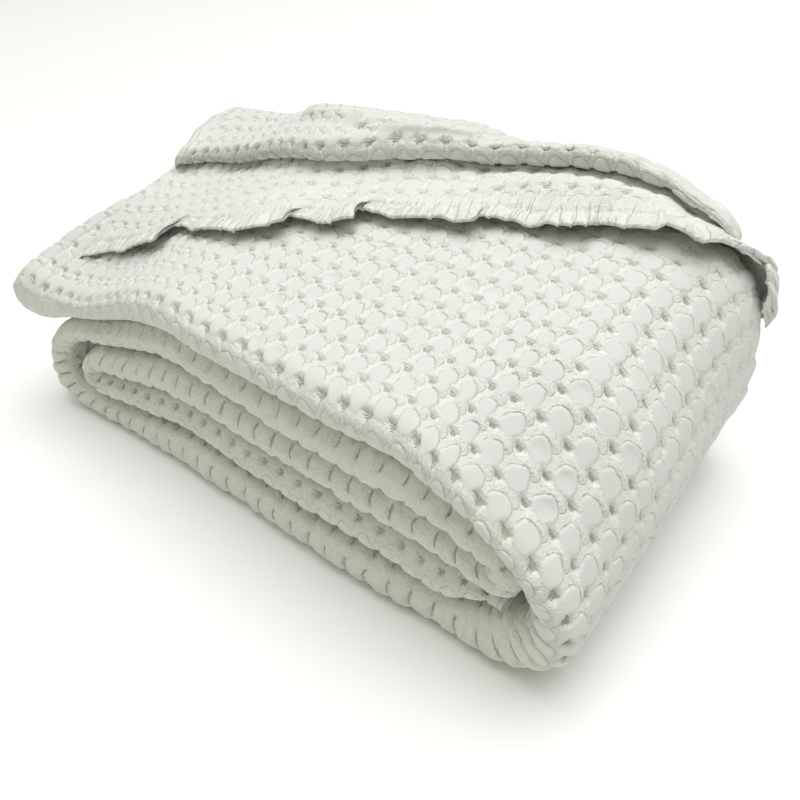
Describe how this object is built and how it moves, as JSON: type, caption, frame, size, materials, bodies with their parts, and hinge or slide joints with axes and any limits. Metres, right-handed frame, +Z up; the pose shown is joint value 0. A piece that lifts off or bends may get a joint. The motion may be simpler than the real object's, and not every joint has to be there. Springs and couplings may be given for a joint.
{
  "type": "folded waffle weave cotton blanket",
  "caption": "Folded cotton blanket in a deep waffle weave, rolled flat in bands, with its last width turned back over the top.",
  "frame": {"origin": "centre of the bounding box at its bottom, on the surface the blanket rests on", "axes": "+X along the near end, where the rolled bands show, +Y from that end to the back, +Z up"},
  "size_m": [0.4796, 0.2536, 0.2081],
  "materials": {
    "cotton": "matt off-white cotton in a deep waffle weave"
  },
  "bodies": {
    "root": {"blanket": "cotton"}
  },
  "joints": []
}
